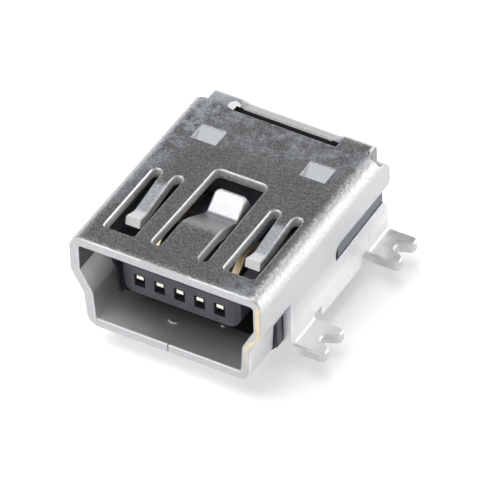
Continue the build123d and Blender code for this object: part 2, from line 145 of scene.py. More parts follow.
class Tree:
    """A node tree being filled, with the few calls that every finish needs."""

    def __init__(self, node_tree):
        self.nodes = node_tree.nodes
        self.links = node_tree.links
        self.nodes.clear()

    def node(self, kind, settings, sockets):
        """Makes any node: its settings first, then the values or links of its sockets."""
        node = self.nodes.new(kind)
        for name, value in settings.items():
            setattr(node, name, value)
        for key, value in sockets.items():
            if isinstance(value, Value):
                self.links.new(value.socket, node.inputs[key])
            else:
                node.inputs[key].default_value = value
        return Made(self, node)

    def vectors(self, operation, sockets, output="Vector"):
        return self.node("ShaderNodeVectorMath", {"operation": operation}, sockets)[output]

    def place(self):
        """The point being shaded, in millimetres in the part's own frame."""
        where = self.node("ShaderNodeTexCoord", {}, {})["Object"]
        return self.vectors("SCALE", {0: where, "Scale": 1 / MM})

    def split(self, vector):
        made = self.node("ShaderNodeSeparateXYZ", {}, {"Vector": vector})
        return made["X"], made["Y"], made["Z"]

    def noise(self, vector, scale, detail=2.0, roughness=0.5):
        made = self.node(
            "ShaderNodeTexNoise", {},
            {"Vector": vector, "Scale": scale, "Detail": detail, "Roughness": roughness})
        return made["Fac"]

    def blend(self, factor, first, second):
        """One colour into another by a factor from 0 to 1."""
        return self.node("ShaderNodeMix", {"data_type": "RGBA"}, {0: factor, 6: first, 7: second})[2]

    def blend_vectors(self, factor, first, second):
        """One vector into another by a factor from 0 to 1."""
        turn = self.vectors("SUBTRACT", {0: second, 1: first})
        part = self.vectors("SCALE", {0: turn, "Scale": factor})
        return self.vectors("ADD", {0: first, 1: part})

    def rounded(self, radius, samples):
        """The face's normal, turned near an edge as if the edge were rounded."""
        return self.node("ShaderNodeBevel", {"samples": samples}, {"Radius": radius})["Normal"]

    def bumped(self, height, normal, strength, distance):
        """A normal with a relief on it, whose distance is in millimetres."""
        made = self.node(
            "ShaderNodeBump", {},
            {"Strength": strength, "Distance": distance * MM, "Height": height, "Normal": normal})
        return made["Normal"]

    def principled(self, sockets):
        return self.node("ShaderNodeBsdfPrincipled", {}, sockets)["BSDF"]

    def finish(self, shader, kind="Material"):
        self.node(f"ShaderNodeOutput{kind}", {}, {"Surface": shader})


# Settings

class PlatingSettings(bpy.types.PropertyGroup):
    tin: FloatVectorProperty(
        name="Tin", description="Colour of the matt tin plate", subtype="COLOR", size=3,
        default=(0.72, 0.73, 0.745), min=0.0, max=1.0)
    grain: FloatProperty(
        name="Grain", description="Size of the plating's grain in millimetres", default=0.065, min=0.01)
    roughness: FloatProperty(
        name="Roughness", description="Mean roughness of the plating", default=0.36, min=0.0, max=1.0)
    rollover: FloatProperty(
        name="Rollover", description="Width of the rounded edge that stamping leaves",
        default=0.035 * MM, unit="LENGTH", min=0.0)
    wear: FloatProperty(
        name="Wear", description="How many times wider than stamped the worn edges are", default=2.8, min=1.0)
    # Pit also serves as painted shade: on the latch's slope, down the cut faces, on the walls' upper half, on
    # the mouth's edge and floor, and on the strip behind the slit.
    pit: FloatVectorProperty(
        name="Pit", description="Darker tone between the plating's grains", subtype="COLOR", size=3,
        default=(0.30, 0.305, 0.315), min=0.0, max=1.0)
    haze: FloatVectorProperty(
        name="Haze", description="Bluish tone near the top's rear and left edges",
        subtype="COLOR", size=3, default=(0.60, 0.68, 0.80), min=0.0, max=1.0)
    bare: FloatVectorProperty(
        name="Bare Cut", description="Tone of the sheet's cut faces", subtype="COLOR", size=3,
        default=(0.80, 0.80, 0.79), min=0.0, max=1.0)
    # Bright also serves as painted light and painted highlights: on the lower walls and legs, the cut faces
    # round the tabs, the springs' ends, the rounded edges, the top's right-hand and front edges, the round
    # patch beside the left corner and the mouth's lit inner slope.
    bright: FloatVectorProperty(
        name="Bright", description="Palest tone: sparks, feet and burnished spots",
        subtype="COLOR", size=3, default=(0.93, 0.93, 0.93), min=0.0, max=1.0)
    shade: FloatVectorProperty(
        name="Shade", description="Dark tone deep in the slit and at the mouth's floor",
        subtype="COLOR", size=3, default=(0.03, 0.03, 0.033), min=0.0, max=1.0)
    sparkle: FloatProperty(
        name="Sparkle", description="How coarse the plating stands on the bends", default=5.0, min=0.0)
    stain: FloatVectorProperty(
        name="Stain", description="Warm tint on the right of the mouth's edge", subtype="COLOR", size=3,
        default=(0.82, 0.68, 0.42), min=0.0, max=1.0)


class MouldingSettings(bpy.types.PropertyGroup):
    plastic: FloatVectorProperty(
        name="Plastic", description="Colour of the moulded housing", subtype="COLOR", size=3,
        default=(0.046, 0.050, 0.062), min=0.0, max=1.0)
    # Painted sheen: a paler bluish tone standing in for light that the rails reflect.
    rail_sheen: FloatVectorProperty(
        name="Rail", description="Paler tone of the rails that fill the side slots",
        subtype="COLOR", size=3, default=(0.20, 0.22, 0.27), min=0.0, max=1.0)
    flow: FloatProperty(
        name="Flow", description="How many times paler the moulding's flow lines are",
        default=1.5, min=0.0)
    roughness: FloatProperty(
        name="Roughness", description="Mean roughness of the moulding", default=0.42, min=0.0, max=1.0)


class ContactSettings(bpy.types.PropertyGroup):
    gilt: FloatVectorProperty(
        name="Gilt", description="Colour of the contacts' plating", subtype="COLOR", size=3,
        default=(0.93, 0.76, 0.50), min=0.0, max=1.0)
    # Worn Gilt is the colour of the painted highlight at the contacts' tips.
    worn: FloatVectorProperty(
        name="Worn Gilt", description="Paler colour of the contacts' worn tips", subtype="COLOR", size=3,
        default=(0.95, 0.90, 0.80), min=0.0, max=1.0)
    roughness: FloatProperty(
        name="Roughness", description="Mean roughness of the contacts", default=0.3, min=0.0, max=1.0)


class BurrSettings(bpy.types.PropertyGroup):
    curl_girth: FloatProperty(
        name="Curl Girth", description="Thickness of the curl of plating on the mouth's floor",
        default=0.09 * MM, unit="LENGTH", min=0.0)
    crumb_girth: FloatProperty(
        name="Crumb Girth", description="Thickness of the crumb below the tongue",
        default=0.11 * MM, unit="LENGTH", min=0.0)
    torn: FloatVectorProperty(
        name="Torn Tin", description="Colour of the torn plating", subtype="COLOR", size=3,
        default=(0.95, 0.95, 0.95), min=0.0, max=1.0)
    torn_shade: FloatVectorProperty(
        name="Torn Shade", description="Darker tone between the torn plating's grains",
        subtype="COLOR", size=3, default=(0.7, 0.7, 0.72), min=0.0, max=1.0)


class StudioSettings(bpy.types.PropertyGroup):
    azimuth: FloatProperty(
        name="Azimuth", description="Camera's bearing from the mouth's front, in degrees",
        default=30.916)
    elevation: FloatProperty(
        name="Elevation", description="Camera's height above the horizon, in degrees",
        default=41.237)
    roll: FloatProperty(name="Roll", description="Camera's roll, in degrees", default=-2.0)
    distance: FloatProperty(
        name="Distance", description="Camera to the board origin",
        default=182.26 * MM, unit="LENGTH", min=0.01)
    focal: FloatProperty(
        name="Focal Length", description="Focal length in pixels of the frame",
        default=5134.5, min=1.0)
    shift_right: FloatProperty(
        name="Shift Right", description="Camera's sideways offset",
        default=-0.1527 * MM, unit="LENGTH")
    shift_up: FloatProperty(
        name="Shift Up", description="Camera's upward offset", default=0.7872 * MM, unit="LENGTH")
    overhead: FloatProperty(
        name="Overhead Light", description="Glow of the softbox above, where 1 is white",
        default=3.2, min=0.0)
    front: FloatProperty(
        name="Front Card", description="Glow of the card that the latch and fingers mirror",
        default=1.6, min=0.0)
    back: FloatProperty(
        name="Back Card", description="Glow of the card that the right-hand bend mirrors",
        default=1.55, min=0.0)
    floor_glow: FloatProperty(
        name="Floor Glow", description="White that the floor shows to the camera",
        default=0.40, min=0.0)
    floor: FloatVectorProperty(
        name="Floor", description="Colour of the plain floor", subtype="COLOR", size=3,
        default=(0.8, 0.8, 0.8), min=0.0, max=1.0)
    even_light: FloatProperty(
        name="Even Light", description="Light that comes evenly from all round", default=0.10, min=0.0)
    top_light: FloatProperty(
        name="Top Light", description="Light added from straight above", default=0.35, min=0.0)


# Finishes

# Edges of the sheet's regions, in millimetres. A mask is 0 at the first number of a pair and 1 at the second.
# Where a region needs several edges, their pairs stand together.
TOP_BAND = (TOP_PLANE - 0.6, TOP_PLANE - 0.45)
TOP_FACE = (TOP_PLANE - 0.05, TOP_PLANE - 0.01)
DOWN_THE_CUT = (TOP_PLANE - 0.06, TOP_PLANE - 0.34)
WALLS = (3.3, 3.4)
ROLLED_WALLS = (3.2, 3.4)
OUTER_WALLS = (3.7, 3.8)
SPRINGS_FROM = (1.9, 2.0)
SPRINGS_TO = (2.8, 2.9)
SPRING_ROOTS = (0.6, 0.4)
SPRING_TIPS = (-2.8, -3.0)
SPRING_END_SIDES = ((1.95, 2.05), (2.85, 2.75))
SPRING_END_DEPTH = ((-3.2, -3.3), (-3.6, -3.5))
LATCH_SIDES = (1.0, 0.9)
LATCH_RAMP = (-1.4, -1.6)
TAB_OPENING = (0.56, 0.53)
TAB_FACE = (0.52, 0.50)
TAB_DEPTH = ((1.0, 1.1), (2.1, 2.0))
SLIT_BEGINS = (SLIT_FRONT, SLIT_FRONT + 0.05)
CUTS_END = (SLIT_REAR + 0.1, SLIT_REAR)
STRIP_EDGE = (SLIT_REAR - 0.15, SLIT_REAR - 0.1)
LIP_FACE = (MOUTH_PLANE + 0.1, MOUTH_PLANE + 0.03)
LIP_BEHIND = (MOUTH_PLANE + 0.1, MOUTH_PLANE + 0.15)
LIP_ROLL = ((MOUTH_PLANE + 0.35, MOUTH_PLANE + 0.25), (3.2, 3.4))
MOUTH_HEIGHT = ((0.2, 0.25), (TOP_PLANE - 0.15, TOP_PLANE - 0.2))
MOUTH_DEPTH = (MOUTH_PLANE + 0.02, MOUTH_PLANE + 0.1)
SPRUNG_HEIGHT = (2.7, 2.8)
SPRUNG_SIDES = (3.0, 3.1)
FLOOR_HEIGHT = (1.0, 0.8)
FLOOR_END = (FLOOR_REAR, FLOOR_REAR + 0.06)
LEG_FEET = (3.9, 3.95)
LEG_EDGES = ((3.85, 4.35), (0.7, 0.6))
LEG_HEIGHT = (1.0, 0.9)
LOW_WALLS = (1.7, 0.9)
HIGH_WALLS = (1.6, 2.2)
LEFT_CORNER = ((-2.2, -2.9), (3.0, 3.6))
ROUND_HIGHLIGHT_MIDDLE = (-2.2, 3.38)
ROUND_HIGHLIGHT_SQUARED_REACH = (0.07, 0.04)
HAZE_REAR = (0.2, 3.0)
HAZE_LEFT = ((-2.1, -3.3), (-4.0, -1.0))
HAZE_FRONT = ((1.6, 3.2), (-4.1, -5.0))
BORDER_LINE = 3.98
BORDER_FADE = (0.0, 0.32)
BORDER_END = (3.3, 3.2)
BRIM_LINE = MOUTH_PLANE + 1.02
BRIM_FADE = (0.0, 0.30)
BEHIND_THROAT = (-3.4, -3.2)
REAR_LEGS = (-1.5, 0.5)
STREAK_WIDTH = ((0.12, 0.26), (0.42, 0.28))
STREAK_HEIGHT = ((0.4, 2.0), (3.75, 3.4))
STREAK_SIDE = (2.6, 2.9)
FLOOR_SHEEN = ((0.5, -3.0), (-3.8, -5.2))
LIT_HEIGHT = (1.5, 2.2)
SHADED_HEIGHT = (2.3, 2.5)

# How far a face turns up or forward before it counts, as the part of its normal that points that way
LEVEL = (0.9, 0.98)
NEARLY_LEVEL = (0.5, 0.7)
FLOOR_LEVEL = (0.7, 0.9)
FOOT_LEVEL = (0.5, 0.8)
ROLLED = (0.03, 0.25)
CUT_STEEP = (0.3, 0.6)
LIT_SLOPE = (0.15, 0.35)
SQUARE_TO_FRONT = (0.8, 0.95)
FORWARD = (0.5, 0.8)
PARTLY_FORWARD = (0.2, 0.5)
MOSTLY_FORWARD = (0.4, 0.8)

# The housing's rails to the side, rearward and up, the contacts behind their tips, and both pieces' edges
RAILS = ((3.5, 3.55), (-0.15, 0.1), (1.4, 1.5))
BEHIND_TIPS = (-4.3, -4.0)
MOULDED_EDGE = 0.03 * MM


def colour(values):
    """A colour with its alpha, from three numbers."""
    return (*values[:3], 1.0)


def new_finish(name):
    """A new material and its empty tree."""
    material = bpy.data.materials.new(name)
    material.use_nodes = True
    return material, Tree(material.node_tree)


def dress(node_name, material):
    """Gives a finish to every slot of a CAD node."""
    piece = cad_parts[node_name]
    if not piece.material_slots:
        piece.data.materials.append(material)
    for slot in piece.material_slots:
        slot.material = material


class SheetMap:
    """Says where on the sheet the point being shaded lies. Each region is a mask from 0 to 1."""

    def __init__(self, tree, settings):
        self.tree = tree
        self.settings = settings
        self.place = tree.place()
        self.x, self.y, self.z = tree.split(self.place)
        self.aside = abs(self.x)
        self.facing = tree.node("ShaderNodeNewGeometry", {}, {})["True Normal"]
        rearward, self.up = tree.split(self.facing)[1:]
        self.forward = -rearward
        self.fine = tree.noise(self.place, 1 / settings.grain, roughness=0.7)
        self.coarse = tree.noise(self.place, 0.45 / settings.grain, detail=3.0, roughness=0.65)
        self.cloud = tree.noise(self.place, 1.1, detail=4.0, roughness=0.6)
        self.pits = (self.fine * 0.65 + self.coarse * 0.35).between(0.38, 0.60)

    # The top, and what is cut out of it

    @cached_property
    def upper(self):
        """The top's whole thickness, with the bends at its sides."""
        return self.z.between(*TOP_BAND)

    @cached_property
    def flat(self):
        """The top's upper face."""
        return self.up.between(*LEVEL) * self.z.between(*TOP_FACE)

    @cached_property
    def bend(self):
        """The rounded bends from the top into the side walls."""
        return self.aside.between(*ROLLED_WALLS) * self.up.between(*ROLLED) * self.upper

    @cached_property
    def blades(self):
        """The upper faces of the latch and of both springs, where they dip below the top."""
        dipping = self.up.between(*NEARLY_LEVEL) * self.upper * (1 - self.flat)
        return dipping * (1 - self.aside.between(*SPRINGS_TO)) * self.y.between(*SPRING_ROOTS)

    @cached_property
    def fingers(self):
        """The two springs."""
        return self.blades * self.aside.between(*SPRINGS_FROM)

    @cached_property
    def tips(self):
        """The springs' last stretch."""
        return self.fingers * self.y.between(*SPRING_TIPS)

    @cached_property
    def ends(self):
        """The springs' cut ends, which face forward."""
        mask = self.forward.between(*FORWARD) * self.upper
        for edge in SPRING_END_DEPTH:
            mask = mask * self.y.between(*edge)
        for edge in SPRING_END_SIDES:
            mask = mask * self.aside.between(*edge)
        return mask

    @cached_property
    def ramp(self):
        """The latch's slope down into the mouth."""
        return self.blades * self.aside.between(*LATCH_SIDES) * self.y.between(*LATCH_RAMP)

    @cached_property
    def cut(self):
        """The stamped faces of the openings in the top."""
        steep = 1 - abs(self.up).between(*CUT_STEEP)
        mask = steep * self.upper * (1 - self.aside.between(*WALLS))
        return mask * self.y.between(*LIP_BEHIND) * self.y.between(*CUTS_END)

    @cached_property
    def slit(self):
        """The faces of the slit before the rear strip."""
        return self.cut * self.y.between(*SLIT_BEGINS)

    @cached_property
    def brow(self):
        """The rear strip's front edge, behind the slit."""
        return self.forward.between(*PARTLY_FORWARD) * self.y.between(*STRIP_EDGE) * self.upper

    def near_tab(self, half_width):
        """Both lanced tabs, as wide as half_width says."""
        mask = abs(self.aside - TAB_MIDDLE).between(*half_width)
        for edge in TAB_DEPTH:
            mask = mask * self.y.between(*edge)
        return mask

    @cached_property
    def pocket(self):
        """The cut faces round the tabs."""
        return self.cut * self.near_tab(TAB_OPENING)

    @cached_property
    def tabs(self):
        """The tabs' sunken faces."""
        return self.near_tab(TAB_FACE) * (1 - self.flat) * self.upper * (1 - self.pocket)

    # The walls, the legs and the mouth

    @cached_property
    def side(self):
        """The outer walls' upper half."""
        upright = 1 - self.up.between(*ROLLED)
        return self.aside.between(*OUTER_WALLS) * self.z.between(*HIGH_WALLS) * upright

    @cached_property
    def low(self):
        """The outer walls' lower half and the legs."""
        return (1 - self.upper) * self.z.between(*LOW_WALLS) * self.aside.between(*WALLS)

    @cached_property
    def foot(self):
        """The legs' upper faces."""
        return self.aside.between(*LEG_FEET) * self.up.between(*FOOT_LEVEL)

    @cached_property
    def leg_edges(self):
        """The legs' cut edges."""
        reach, height = LEG_EDGES
        return self.aside.between(*reach) * (1 - self.up.between(*FOOT_LEVEL)) * self.z.between(*height)

    @cached_property
    def lip(self):
        """The mouth's cut edge."""
        return self.forward.between(*SQUARE_TO_FRONT) * self.y.between(*LIP_FACE)

    @cached_property
    def inside(self):
        """The inner faces of the mouth's tube, without what is sprung down from the top."""
        wall = at_step(self.z, MOUTH_HALF_LOW, MOUTH_HALF_HIGH)
        mask = (wall - self.aside).between(0.0, 0.05)
        for edge in MOUTH_HEIGHT:
            mask = mask * self.z.between(*edge)
        sprung = self.z.between(*SPRUNG_HEIGHT) * (1 - self.aside.between(*SPRUNG_SIDES))
        return mask * (1 - sprung) * self.y.between(*MOUTH_DEPTH)

    @cached_property
    def floor(self):
        """The mouth's floor."""
        return self.inside * self.up.between(*FLOOR_LEVEL) * self.z.between(*FLOOR_HEIGHT)

    @cached_property
    def deep(self):
        """The floor behind the line at which the photograph lets it end."""
        return self.floor * self.y.between(*FLOOR_END)

    @cached_property
    def wall(self):
        """The mouth's inner walls."""
        return self.inside * (1 - self.up.between(*FLOOR_LEVEL))

    @cached_property
    def lit(self):
        """The inner walls' slope, which faces up to the light."""
        return self.wall * self.up.between(*LIT_SLOPE) * (0.35 + self.z.between(*LIT_HEIGHT) * 0.65)

    @cached_property
    def sheen(self):
        """The floor's front left, where the light falls in."""
        sideways, rearward = FLOOR_SHEEN
        return self.x.between(*sideways) * self.y.between(*rearward)

    # Wear, bloom, and painted highlights and shade

    @cached_property
    def corner(self):
        """The top's left rear corner."""
        sideways, rearward = LEFT_CORNER
        return self.y.between(*rearward) * self.x.between(*sideways)

    @cached_property
    def haze(self):
        """Bluish bloom on the top: in wisps near its rear and left edges, and whole in the left corner."""
        wave = self.tree.noise(self.place, 2.2, detail=6.0, roughness=0.75)
        fleck = 0.35 + self.tree.noise(self.place, 11.0, roughness=0.6).between(0.38, 0.60) * 0.65
        rear = self.y.between(*HAZE_REAR) * wave.between(0.40, 0.62)
        left = self.x.between(*HAZE_LEFT[0]) * self.y.between(*HAZE_LEFT[1]) * wave.between(0.40, 0.58)
        front = self.x.between(*HAZE_FRONT[0]) * self.y.between(*HAZE_FRONT[1]) * wave.between(0.38, 0.55)
        return ((rear + left + front) * fleck * 0.9 + self.corner).at_most(1.0) * self.flat

    @cached_property
    def spark(self):
        """Single bright grains on the top."""
        grains = self.tree.noise(self.place, 1.3 / self.settings.grain, detail=1.0)
        return grains.between(0.62, 0.72) * self.flat

    @cached_property
    def round_highlight(self):
        """A small round painted highlight beside the left corner."""
        across = self.x - ROUND_HIGHLIGHT_MIDDLE[0]
        along = self.y - ROUND_HIGHLIGHT_MIDDLE[1]
        squared = across * across + along * along + (self.coarse - 0.5) * 0.06
        return squared.between(*ROUND_HIGHLIGHT_SQUARED_REACH) * self.flat

    @cached_property
    def ragged(self):
        """How far the painted highlights at the top's right-hand and front edges reach in, in millimetres."""
        return self.tree.noise(self.place, 8.0, detail=4.0, roughness=0.7) * 0.8 + self.fine * 0.7

    @cached_property
    def border(self):
        """Painted highlight along the top's right-hand edge, with a ragged inner line."""
        return (self.x + self.ragged - BORDER_LINE).between(*BORDER_FADE) * self.y.between(*BORDER_END)

    @cached_property
    def brim(self):
        """Painted highlight along the top's front edge, with a ragged inner line."""
        return (BRIM_LINE - self.y - self.ragged).between(*BRIM_FADE)

    @cached_property
    def grime(self):
        """Faint dirt on the walls behind the mouth."""
        patch = self.coarse.between(0.50, 0.66) * self.cloud.between(0.45, 0.60)
        return patch * (1 - self.upper) * self.y.between(*BEHIND_THROAT)

    @cached_property
    def smudge_and_shade(self):
        """Painted shade on the cut faces, darker deeper down and on faces turned forward, with random darker
        patches.
        """
        patch = self.coarse.between(0.45, 0.65) * 0.35
        shade = self.z.between(*DOWN_THE_CUT) * 0.4 + self.forward.between(*MOSTLY_FORWARD) * 0.2 + patch
        return self.cut * (1 - self.pocket) * (1 - self.ends) * shade

    @cached_property
    def blotch(self):
        """Spots on the legs' upper faces, stronger on the rear ones."""
        spots = self.tree.noise(self.place, 2.6, detail=5.0, roughness=0.7).between(0.40, 0.62)
        return self.foot * spots * (0.06 + self.y.between(*REAR_LEGS) * 0.16)

    @cached_property
    def stained(self):
        """Narrow warm streak down the mouth's right-hand edge, uneven and fading at its foot."""
        outside = at_step(self.z, MOUTH_OUTER_LOW, MOUTH_OUTER_HIGH)
        wander = self.tree.noise(self.place, 2.2, detail=3.0) * 0.16
        inward = outside - self.x + wander
        patchy = 0.45 + self.tree.noise(self.place, 4.0, detail=3.0).between(0.35, 0.6) * 0.55
        mask = self.lip * patchy * self.x.between(*STREAK_SIDE)
        for across, height in zip(STREAK_WIDTH, STREAK_HEIGHT):
            mask = mask * inward.between(*across) * self.z.between(*height)
        return mask

    @cached_property
    def edge(self):
        """The normal at edges as they were stamped."""
        return self.tree.rounded(self.settings.rollover, samples=6)

    @cached_property
    def worn(self):
        """The normal at edges that are worn rounder."""
        return self.tree.rounded(self.settings.rollover * self.settings.wear, samples=6)

    @cached_property
    def edge_highlight(self):
        """Painted highlight along the rounded edges of the blades and the cut faces."""
        alike = self.tree.vectors("DOT_PRODUCT", {0: self.worn, 1: self.facing}, "Value")
        return (1 - alike).between(0.02, 0.14) * (self.blades + self.cut * 0.5).at_most(1.0)


def at_step(height, below, above):
    """A half width of the mouth at a height, from its values below and above the step."""
    return below + height.between(MOUTH_STEP, MOUTH_STEP + MOUTH_STEP_RISE) * (above - below)


def sheet_colour(sheet, settings):
    """Tin with each tone of the sheet laid over it in turn, as strong as its number says. Some of the tones
    are painted highlights and painted shade.
    """
    pitted = sheet.flat * (1 - sheet.corner) + sheet.fingers * 0.7 + sheet.bend * 0.22
    layers = (
        (sheet.pits * pitted, 1.0, settings.pit),
        # Painted shade: the latch's slope down into the mouth is darkened.
        (sheet.ramp, 0.60, settings.pit),
        (sheet.fingers, 0.18, settings.haze),
        (sheet.spark, 0.7, settings.bright),
        (sheet.haze, 0.48, settings.haze),
        (sheet.cut, 0.9, settings.bare),
        # Painted shade down the cut faces, with darker patches.
        (sheet.smudge_and_shade, 1.0, settings.pit),
        # Painted highlight on the springs' cut ends.
        (sheet.ends * sheet.coarse, 1.0, settings.bright),
        (sheet.tabs * sheet.coarse.between(0.35, 0.60), 0.25, settings.haze),
        # Painted light: the outer walls' lower half and the legs are paled so that they look brighter.
        (sheet.low * (1 - sheet.leg_edges), 0.7, settings.bright),
        (sheet.leg_edges * sheet.coarse, 0.45, settings.pit),
        # Painted shade: the outer walls' upper half is darkened.
        (sheet.side, 0.28, settings.pit),
        (sheet.grime, 0.22, settings.pit),
        # Painted light: the cut faces round the tabs and the legs' upper faces are painted palest.
        ((sheet.pocket + sheet.foot).at_most(1.0), 1.0, settings.bright),
        (sheet.blotch, 1.0, settings.pit),
        # Painted highlight: a small round bright patch beside the left corner.
        (sheet.round_highlight * sheet.coarse.between(0.30, 0.45), 1.0, settings.bright),
        # Painted highlight on the springs' last stretch.
        (sheet.tips, 0.6, settings.bright),
        # Painted highlight along the rounded edges.
        (sheet.edge_highlight, 0.8, settings.bright),
        # Painted highlights along the top's right-hand and front edges.
        ((sheet.border * 0.8 + sheet.brim * 0.5).at_most(1.0) * sheet.flat, 1.0, settings.bright),
        # Painted shade on the rear strip's front edge.
        (sheet.brow, 0.8, settings.pit),
        # Painted shade: the slit's faces are made near black.
        (sheet.slit, 1.0, settings.shade),
        # Painted shade on the mouth's cut edge, with the plating's grain in it.
        (sheet.lip * (0.33 + sheet.pits * 0.2), 1.0, settings.pit),
        (sheet.stained, 1.0, settings.stain),
        # Painted shade over the mouth's floor, less at its front left where painted light falls in, with
        # grain.
        (sheet.floor * (0.57 - sheet.sheen * 0.50 + (sheet.fine - 0.5) * 0.5), 1.0, settings.pit),
        (sheet.floor, 0.05, settings.stain),
        (sheet.wall * sheet.z.between(*SHADED_HEIGHT), 0.8, settings.pit),
        (sheet.lit * (0.6 + sheet.coarse * 0.6), 1.0, settings.bright),
        (sheet.deep, 1.0, settings.shade),
    )
    body = colour(settings.tin)
    for mask, strength, tone in layers:
        body = sheet.tree.blend(mask * strength, body, colour(tone))
    return body


def sheet_metal(sheet):
    """1 where the plating mirrors like metal, less where it is dull or cut, and under some painted
    highlights.
    """
    dull = (
        (sheet.haze, 0.35),
        (sheet.cut - sheet.pocket, 0.75),
        (sheet.floor * (0.15 + sheet.sheen * 0.25), 1.0),
        (sheet.lit, 0.8),
        (sheet.deep, 0.85),
        (sheet.round_highlight, 0.6),
        ((sheet.border + sheet.brim * 0.4) * sheet.flat, 0.5),
        (sheet.fingers, 0.25),
        (sheet.tips, 0.5),
    )
    return 1 - sum(mask * strength for mask, strength in dull).at_most(1.0)


def sheet_roughness(sheet, settings):
    """The plating's roughness, with what each region adds to it."""
    legs = sheet.aside.between(*OUTER_WALLS) * sheet.z.between(*LEG_HEIGHT)
    added = (
        (1 - sheet.flat, 0.08),
        (legs, 0.15),
        (sheet.cloud - 0.5, 0.12),
        (sheet.cut, 0.2),
        (sheet.inside, 0.1),
    )
    return settings.roughness + sum(mask * strength for mask, strength in added)


def sheet_normal(sheet, settings):
    """Rounded edges, wider on the blades and the mouth's brim, with the plating's grit on them."""
    behind_lip, height = LIP_ROLL
    soft = sheet.blades + sheet.y.between(*behind_lip) * sheet.z.between(*height)
    turned = sheet.tree.blend_vectors(soft.at_most(1.0), sheet.edge, sheet.worn)
    grit = sheet.fine * (0.3 + sheet.flat * 0.5 + sheet.blades * 0.6)
    grit = grit + sheet.coarse * sheet.bend * settings.sparkle
    return sheet.tree.bumped(grit, turned, strength=0.6, distance=0.012)


def tin_plate(settings):
    """Matt tin over stamped sheet: speckled flat top, smooth walls and bends, and pale cut faces."""
    material, tree = new_finish("tin_plate")
    sheet = SheetMap(tree, settings)
    tree.finish(tree.principled({
        "Base Color": sheet_colour(sheet, settings),
        "Metallic": sheet_metal(sheet),
        "Roughness": sheet_roughness(sheet, settings),
        "Normal": sheet_normal(sheet, settings)}))
    return material


def moulded_plastic(settings):
    """Dark filled plastic with a faint moulded grain, and a painted sheen on the rails in the side slots."""
    material, tree = new_finish("black_plastic")
    place = tree.place()
    x, y, z = tree.split(place)
    speck = tree.noise(place, 14.0, detail=3.0, roughness=0.6)
    drawn = tree.vectors("MULTIPLY", {0: place, 1: (1.0, 0.3, 1.0)})
    flow = tree.noise(drawn, 2.0, detail=3.0).between(0.35, 0.65)
    pale = [settings.flow * part for part in settings.plastic]
    aside, rearward, height = RAILS
    # Painted sheen on the rails in the side slots.
    rail_sheen = abs(x).between(*aside) * y.between(*rearward) * z.between(*height)
    body = tree.blend(flow * 0.8 + speck * 0.3, colour(settings.plastic), colour(pale))
    body = tree.blend(rail_sheen * 0.9, body, colour(settings.rail_sheen))
    tree.finish(tree.principled({
        "Base Color": body,
        "Roughness": settings.roughness + (speck - 0.5) * 0.2,
        "Normal": tree.bumped(speck, tree.rounded(MOULDED_EDGE, samples=4), strength=0.4, distance=0.01),
        "IOR": 1.5}))
    return material


def gilt_plate(settings):
    """Thin gilt over copper alloy, with a pale painted highlight at the tips."""
    material, tree = new_finish("gilt_contacts")
    place = tree.place()
    speck = tree.noise(place, 20.0)
    # Painted highlight at the contacts' tips.
    tips = 1 - tree.split(place)[1].between(*BEHIND_TIPS)
    tree.finish(tree.principled({
        "Base Color": tree.blend(tips, colour(settings.gilt), colour(settings.worn)),
        "Metallic": 1.0,
        "Roughness": settings.roughness + (speck - 0.5) * 0.2,
        "Normal": tree.rounded(MOULDED_EDGE, samples=4)}))
    return material


def torn_plating(settings):
    """Bright torn tin, rough all over."""
    material, tree = new_finish("torn_plating")
    speck = tree.noise(tree.place(), 30.0)
    tree.finish(tree.principled({
        "Base Color": tree.blend(speck, colour(settings.torn), colour(settings.torn_shade)),
        "Metallic": 0.0,
        "Roughness": 0.4 + speck * 0.2}))
    return material


# Operators

class PORT_OT_finish_shell(bpy.types.Operator):
    """Plate the folded sheet shell"""
    bl_idname = "port.finish_shell"
    bl_label = "Finish Sheet"

    def execute(self, context):
        dress("metal_shell", tin_plate(context.scene.port_plating))
        return {"FINISHED"}


class PORT_OT_finish_housing(bpy.types.Operator):
    """Give the moulded housing its plastic"""
    bl_idname = "port.finish_housing"
    bl_label = "Finish Housing"

    def execute(self, context):
        dress("contact_housing", moulded_plastic(context.scene.port_moulding))
        return {"FINISHED"}


class PORT_OT_finish_contacts(bpy.types.Operator):
    """Gild the spring contacts"""
    bl_idname = "port.finish_contacts"
    bl_label = "Finish Contacts"

    def execute(self, context):
        material = gilt_plate(context.scene.port_contacts)
        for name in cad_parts:
            if name.startswith("spring_contact"):
                dress(name, material)
        return {"FINISHED"}


